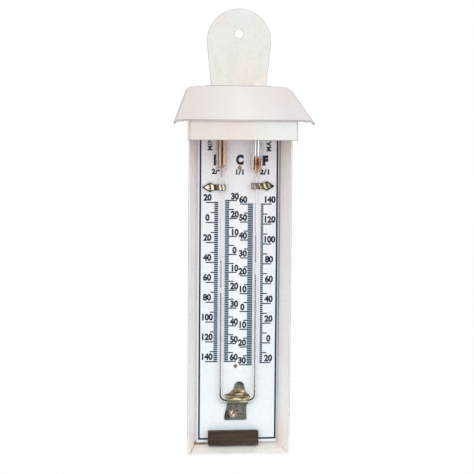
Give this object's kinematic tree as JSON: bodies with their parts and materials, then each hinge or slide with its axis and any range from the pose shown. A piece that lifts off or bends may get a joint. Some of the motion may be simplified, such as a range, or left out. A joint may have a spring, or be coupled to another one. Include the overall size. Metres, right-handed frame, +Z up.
{
  "type": "maximum minimum thermometer",
  "caption": "Wall-hung maximum and minimum thermometer: U-shaped capillary with sliding markers on a scale plate, in a flared sheet tray with a roofed hood and a reset magnet.",
  "frame": {"origin": "centre of the hanging hole, on the back face that lies against the wall", "axes": "+Z up along the tube's legs, -Y out of the wall towards the reader, +X to the reader's right"},
  "size_m": [0.0762, 0.0295, 0.2464],
  "materials": {
    "case_paint": "white stoved paint on folded steel sheet",
    "rivet_paint": "painted over with the case",
    "scale_enamel": "smooth white scale plate with dark blue print",
    "tube_glass": "clear drawn glass",
    "spirit": "clear amber spirit",
    "mercury": "liquid metal",
    "marker_steel": "blued steel",
    "hair_steel": "fine drawn wire",
    "clip_brass": "pressed spring brass, lightly tarnished",
    "foot_brass": "pressed brass, dull olive tarnish",
    "pin_brass": "dark domed pin heads",
    "magnet_ferrite": "dark brown sintered bar, slightly rounded edges"
  },
  "bodies": {
    "case": {"case_tray": "case_paint", "hood": "case_paint", "roof": "case_paint", "hood_rivets": "rivet_paint", "roof_rivets": "rivet_paint", "scale_plate": "scale_enamel", "glass_tube": "tube_glass", "spirit_min_side": "spirit", "spirit_max_side": "spirit", "mercury_thread": "mercury", "clip_min_side": "clip_brass", "clip_max_side": "clip_brass", "foot_clip": "foot_brass", "foot_clip_pin": "pin_brass", "plate_pin_upper": "pin_brass", "plate_pin_lower": "pin_brass"},
    "min_marker": {"min_index": "marker_steel", "min_index_spring": "hair_steel"},
    "max_marker": {"max_index": "marker_steel", "max_index_spring": "hair_steel"},
    "magnet": {"reset_magnet": "magnet_ferrite"}
  },
  "joints": [
    {"name": "min_marker_slide", "type": "slide", "parent": "case", "child": "min_marker", "axis": [0, 0, 1], "range_m": [-0.0029, 0.046]},
    {"name": "max_marker_slide", "type": "slide", "parent": "case", "child": "max_marker", "axis": [0, 0, 1], "range_m": [-0.0068, 0.032]},
    {"name": "magnet_lift_off", "type": "slide", "parent": "case", "child": "magnet", "axis": [0, -1, 0], "range_m": [0, 0.03]}
  ]
}
